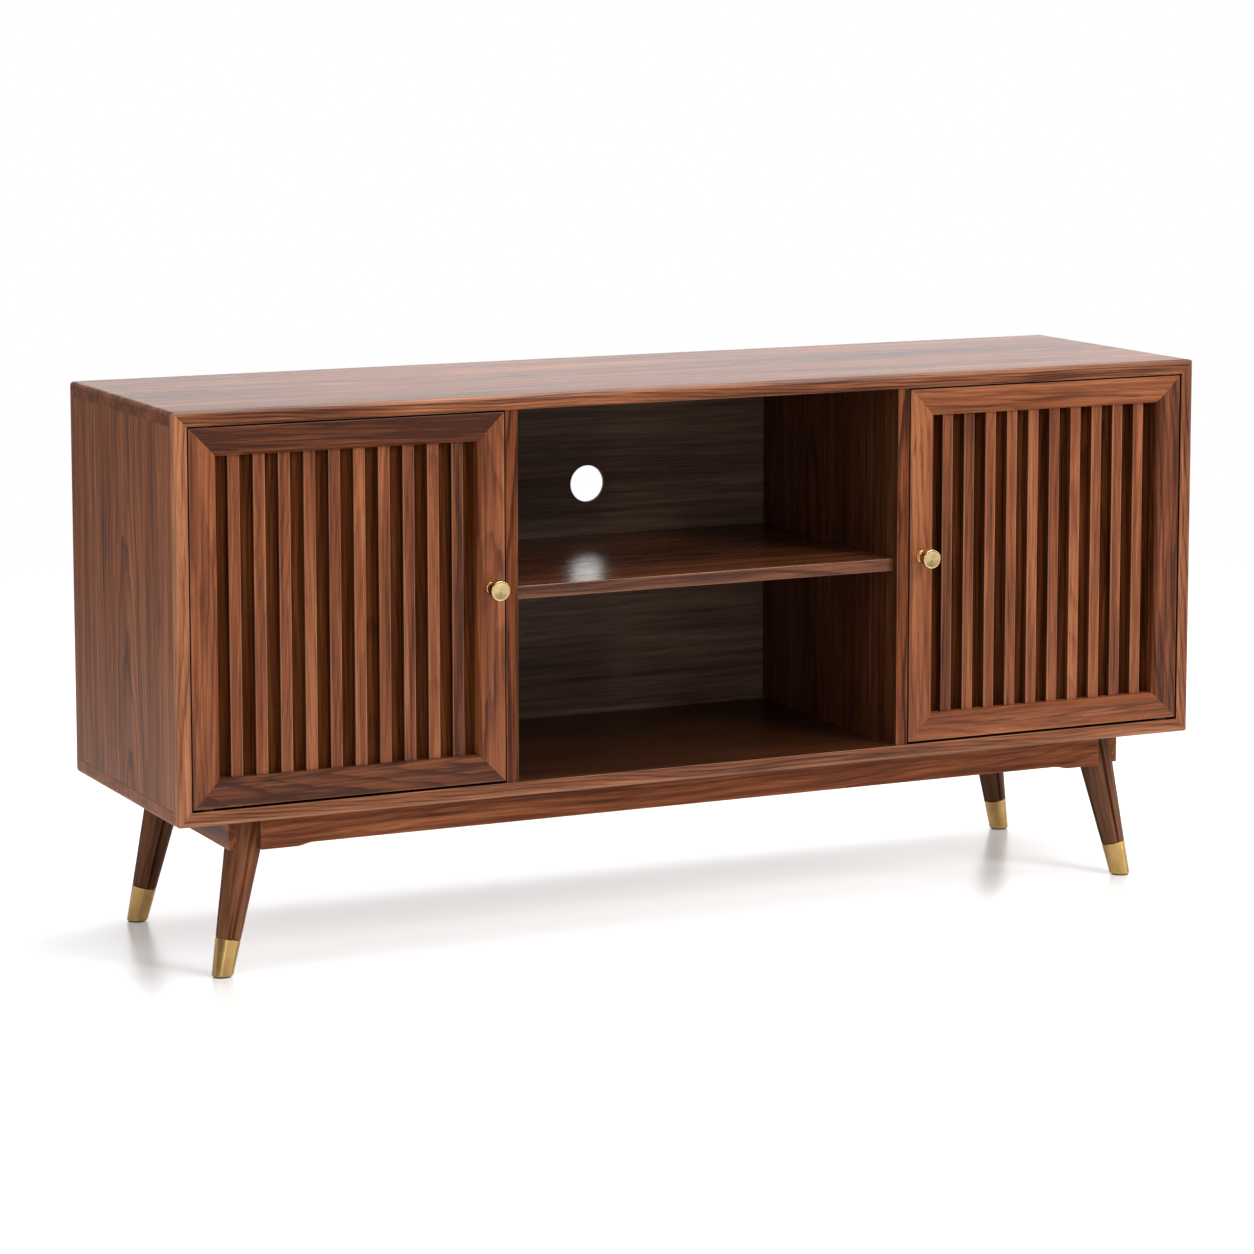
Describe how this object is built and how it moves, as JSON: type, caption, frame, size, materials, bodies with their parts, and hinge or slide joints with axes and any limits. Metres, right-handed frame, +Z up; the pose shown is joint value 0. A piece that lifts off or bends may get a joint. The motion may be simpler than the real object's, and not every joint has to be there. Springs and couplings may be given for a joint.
{
  "type": "media cabinet",
  "caption": "Walnut media cabinet with slatted hinged doors either side of an open bay with a shelf and a cable hole, on splayed tapered legs.",
  "frame": {"origin": "on the floor at the centre of the cabinet's whole outline, knobs included", "axes": "+X to the right along the cabinet's length, -Y the front with the doors, +Z up"},
  "size_m": [1.4, 0.41, 0.687],
  "materials": {
    "walnut_board": "satin lacquered walnut veneer, grain along the board",
    "walnut_solid": "satin lacquered solid walnut with slightly rounded edges",
    "walnut_turned": "satin lacquered solid walnut, a little darker and redder",
    "walnut_veneer_dark": "satin dark walnut veneer",
    "beech": "bare beech",
    "brushed_brass": "brushed, turned lines round the axis",
    "plain_brass": "machined",
    "zinc_steel": "bright zinc plated",
    "rubber_pad": "matte black",
    "catch_plastic": "matte dark brown"
  },
  "bodies": {
    "cabinet": {"top_panel": "walnut_board", "bottom_panel": "walnut_board", "left_side": "walnut_board", "right_side": "walnut_board", "left_divider": "walnut_board", "right_divider": "walnut_board", "back_panel": "walnut_veneer_dark", "top_lipping": "walnut_solid", "bottom_lipping": "walnut_solid", "left_lipping": "walnut_solid", "right_lipping": "walnut_solid", "centre_shelf": "walnut_board", "left_shelf": "walnut_veneer_dark", "right_shelf": "walnut_veneer_dark", "shelf_pins": "zinc_steel", "case_dowels": "beech", "divider_dowels": "beech", "back_screws": "zinc_steel", "front_apron": "walnut_turned", "back_apron": "walnut_turned", "left_apron": "walnut_turned", "right_apron": "walnut_turned", "corner_braces": "beech", "brace_screws": "zinc_steel", "front_left_leg": "walnut_turned", "front_right_leg": "walnut_turned", "back_left_leg": "walnut_turned", "back_right_leg": "walnut_turned", "front_left_ferrule": "brushed_brass", "front_right_ferrule": "brushed_brass", "back_left_ferrule": "brushed_brass", "back_right_ferrule": "brushed_brass", "foot_pads": "rubber_pad", "leg_bolts": "zinc_steel", "leg_inserts": "plain_brass", "pivot_bushes": "plain_brass", "door_catches": "catch_plastic", "catch_screws": "zinc_steel"},
    "left_door": {"left_hinge_stile": "walnut_solid", "left_lock_stile": "walnut_solid", "left_top_rail": "walnut_solid", "left_bottom_rail": "walnut_solid", "left_door_panel": "walnut_veneer_dark", "left_slats": "walnut_solid", "left_knob": "brushed_brass", "left_knob_screw": "zinc_steel", "left_pivot_pins": "zinc_steel", "left_strike": "zinc_steel"},
    "right_door": {"right_hinge_stile": "walnut_solid", "right_lock_stile": "walnut_solid", "right_top_rail": "walnut_solid", "right_bottom_rail": "walnut_solid", "right_door_panel": "walnut_veneer_dark", "right_slats": "walnut_solid", "right_knob": "brushed_brass", "right_knob_screw": "zinc_steel", "right_pivot_pins": "zinc_steel", "right_strike": "zinc_steel"}
  },
  "joints": [
    {"name": "left_door_hinge", "type": "hinge", "parent": "cabinet", "child": "left_door", "pos_m": [-0.66, -0.16984, 0.441], "axis": [0, 0, -1], "range_deg": [0, 110]},
    {"name": "right_door_hinge", "type": "hinge", "parent": "cabinet", "child": "right_door", "pos_m": [0.66, -0.16984, 0.441], "axis": [0, 0, 1], "range_deg": [0, 110]}
  ]
}
